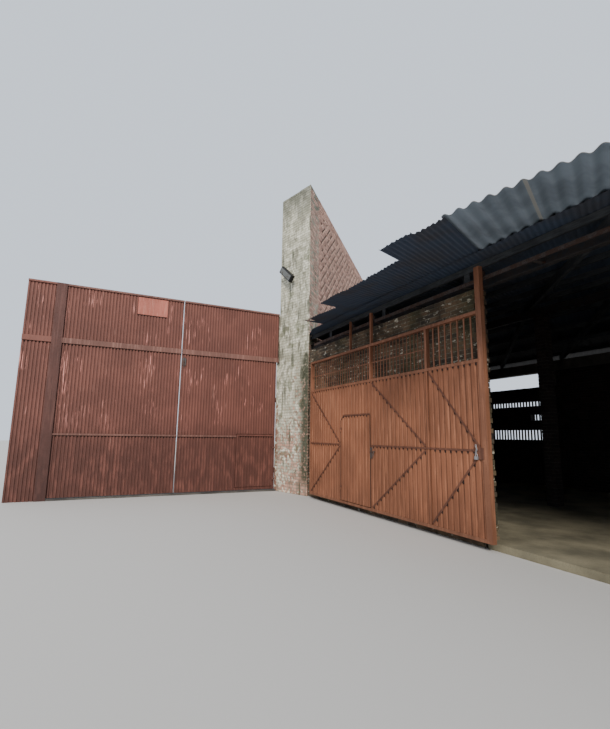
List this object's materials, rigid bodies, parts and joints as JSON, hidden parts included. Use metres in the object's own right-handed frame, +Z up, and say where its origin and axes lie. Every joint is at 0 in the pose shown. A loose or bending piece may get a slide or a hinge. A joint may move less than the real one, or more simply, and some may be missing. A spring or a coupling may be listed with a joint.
{
  "type": "walled warehouse with a sliding door and a yard gate",
  "caption": "Low brick warehouse on a skewed plot, with a stepped sheet eave, a tall party wall, a sliding iron door leaf with a grille and wicket, and a tall yard gate.",
  "frame": {"origin": "on the ground in the doorway, 2.6 m from its right jamb, halfway through the front wall", "axes": "+X along the front wall to the right as seen from outside, +Y into the building, +Z up"},
  "size_m": [24.3494, 15.7, 8.8],
  "materials": {
    "brick_old": "rough, weathered brick",
    "brick_party": "rough, pinkish brick with mortar smears",
    "limewash": "limewashed brick, stained and mossy",
    "concrete": "worn concrete",
    "cement_sheet": "matt, weathered cement sheet",
    "roof_iron": "dull, rusty corrugated iron",
    "timber": "dark, dry timber",
    "steel_old": "brown rust over old paint",
    "track_steel": "rubbed, rusty steel",
    "leaf_paint": "matt red oxide, streaked with rust",
    "leaf_frame_paint": "matt red oxide, chipped",
    "gate_paint": "matt maroon, faded in streaks",
    "gate_frame_paint": "matt maroon, rusty at the edges",
    "plate_rust": "rusty orange, bare",
    "lamp_body": "dark grey, dusty"
  },
  "bodies": {
    "building": {"floor_slab": "concrete", "front_wall_left": "brick_old", "front_wall_right": "brick_old", "side_wall": "brick_old", "rear_wall": "brick_old", "rear_pillars": "brick_old", "rear_beam": "concrete", "front_beam": "steel_old", "columns": "brick_old", "ridge_beam": "steel_old", "front_rafters": "timber", "rear_rafters": "timber", "front_purlins": "timber", "rear_purlins": "timber", "roof_front": "roof_iron", "roof_rear": "roof_iron", "ridge_cap": "roof_iron", "eave_sheets_iron": "roof_iron", "eave_sheets_cement": "cement_sheet", "end_pier": "limewash", "party_wall": "brick_party", "door_track": "track_steel", "track_brackets": "steel_old", "gate_post": "gate_frame_paint", "gate_post_cover": "gate_frame_paint", "gate_side_panel": "gate_paint", "gate_pier_post": "gate_frame_paint", "gate_sill": "concrete", "gate_hinge_pins": "steel_old", "lamp_arm": "steel_old", "floodlight": "lamp_body"},
    "sliding_leaf": {"door_frame": "leaf_frame_paint", "door_sheets": "leaf_paint", "door_braces": "leaf_frame_paint", "door_grille": "leaf_frame_paint", "door_wheels": "track_steel", "door_hasp": "steel_old"},
    "leaf_wicket": {"wicket_frame": "leaf_frame_paint", "wicket_sheet": "leaf_paint"},
    "gate_right": {"gate_right_frame": "gate_frame_paint", "gate_right_sheet": "gate_paint"},
    "gate_left": {"gate_left_frame": "gate_frame_paint", "gate_left_sheet": "gate_paint", "gate_plate": "plate_rust"},
    "gate_wicket": {"gate_wicket": "gate_paint"}
  },
  "joints": [
    {"name": "leaf_slide", "type": "slide", "parent": "building", "child": "sliding_leaf", "axis": [1, 0, 0], "range_m": [0, 5.3]},
    {"name": "leaf_wicket_hinge", "type": "hinge", "parent": "sliding_leaf", "child": "leaf_wicket", "pos_m": [-6.655, -0.317, 0.4], "axis": [0, 0, -1], "range_deg": [0, 90]},
    {"name": "gate_right_hinge", "type": "hinge", "parent": "building", "child": "gate_right", "pos_m": [-10.03, -0.55, 0.5], "axis": [0, 0, -1], "range_deg": [0, 90]},
    {"name": "gate_left_hinge", "type": "hinge", "parent": "building", "child": "gate_left", "pos_m": [-10.03, -6.195, 0.5], "axis": [0, 0, 1], "range_deg": [0, 90]},
    {"name": "gate_wicket_hinge", "type": "hinge", "parent": "gate_right", "child": "gate_wicket", "pos_m": [-9.888, -0.646, 0.32], "axis": [0, 0, 1], "range_deg": [0, 90]}
  ]
}
